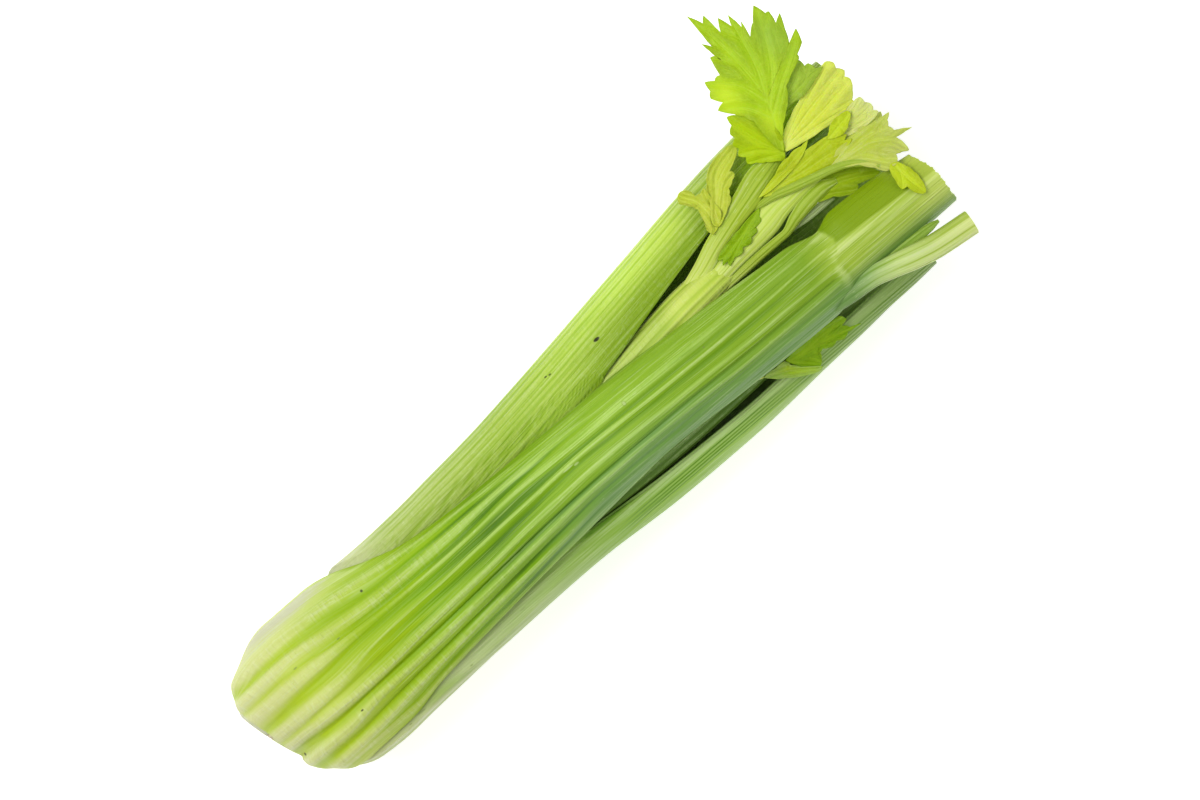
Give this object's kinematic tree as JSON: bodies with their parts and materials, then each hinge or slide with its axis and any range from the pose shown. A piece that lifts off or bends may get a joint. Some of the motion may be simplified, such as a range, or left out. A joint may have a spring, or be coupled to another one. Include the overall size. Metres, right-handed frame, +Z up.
{
  "type": "celery head",
  "caption": "Head of celery lying on its side: ribbed stalks nested round a trimmed root end, with pale heart stems and leaves at the cut tops.",
  "frame": {"origin": "centre of the bounding box in plan, on the surface that the head lies on", "axes": "+X from the cut root end to the cut tops, +Z up, +Y to the side that the big leaf reaches over"},
  "size_m": [0.377, 0.1539, 0.0922],
  "materials": {
    "outer_stalk": "ribbed waxy green plant skin, cream toward the root",
    "inner_stalk": "ribbed waxy pale green plant skin",
    "heart_stalk": "smooth pale yellow-green plant skin",
    "leafy_heart_stalk": "pale heart stalk with thin bright green and yellow leaves",
    "root_plate": "cut cream plant flesh"
  },
  "bodies": {
    "root": {"stalk_front": "outer_stalk", "stalk_left": "outer_stalk", "stalk_right": "outer_stalk", "stalk_back_left": "outer_stalk", "stalk_back_right": "outer_stalk", "inner_stalk_left": "inner_stalk", "inner_stalk_right": "inner_stalk", "inner_stalk_back": "inner_stalk", "heart_stalk_front": "leafy_heart_stalk", "heart_stalk_left": "heart_stalk", "heart_stalk_right": "heart_stalk", "root_plate": "root_plate"}
  },
  "joints": []
}
